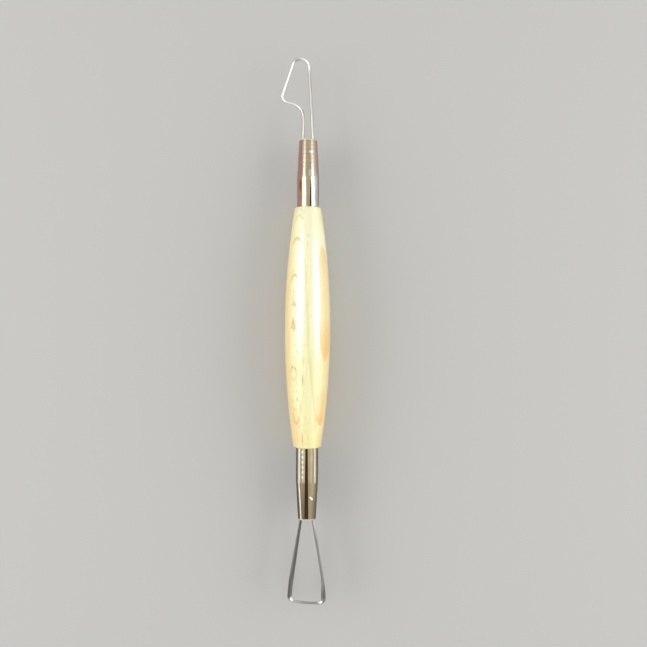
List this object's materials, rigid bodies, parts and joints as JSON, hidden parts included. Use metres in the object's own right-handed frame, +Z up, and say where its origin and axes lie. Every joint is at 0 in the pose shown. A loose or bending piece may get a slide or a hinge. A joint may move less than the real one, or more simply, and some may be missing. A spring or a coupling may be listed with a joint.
{
  "type": "pottery wire tool",
  "caption": "Clay trimming tool: turned beech handle with rolled metal ferrules, a beaked round-wire loop at one end and a flat-strip trapezoid loop at the other.",
  "frame": {"origin": "under the fattest place of the handle, where its belly touches the surface it lies on", "axes": "+Y along the tool towards the hook loop, +Z up from the surface, the beak of the hook loop points to -X"},
  "size_m": [0.0185, 0.2024, 0.0169],
  "materials": {
    "beech": "clear lacquer, soft gloss, fine flecked grain",
    "plated_sheet": "thin nickel plating, slightly tarnished, with handling marks",
    "spring_wire": "bright drawn wire",
    "flat_strip": "rolled strip, bright on its edges"
  },
  "bodies": {
    "root": {"handle": "beech", "hook_ferrule": "plated_sheet", "trimming_ferrule": "plated_sheet", "hook_loop": "spring_wire", "trimming_loop": "flat_strip"}
  },
  "joints": []
}
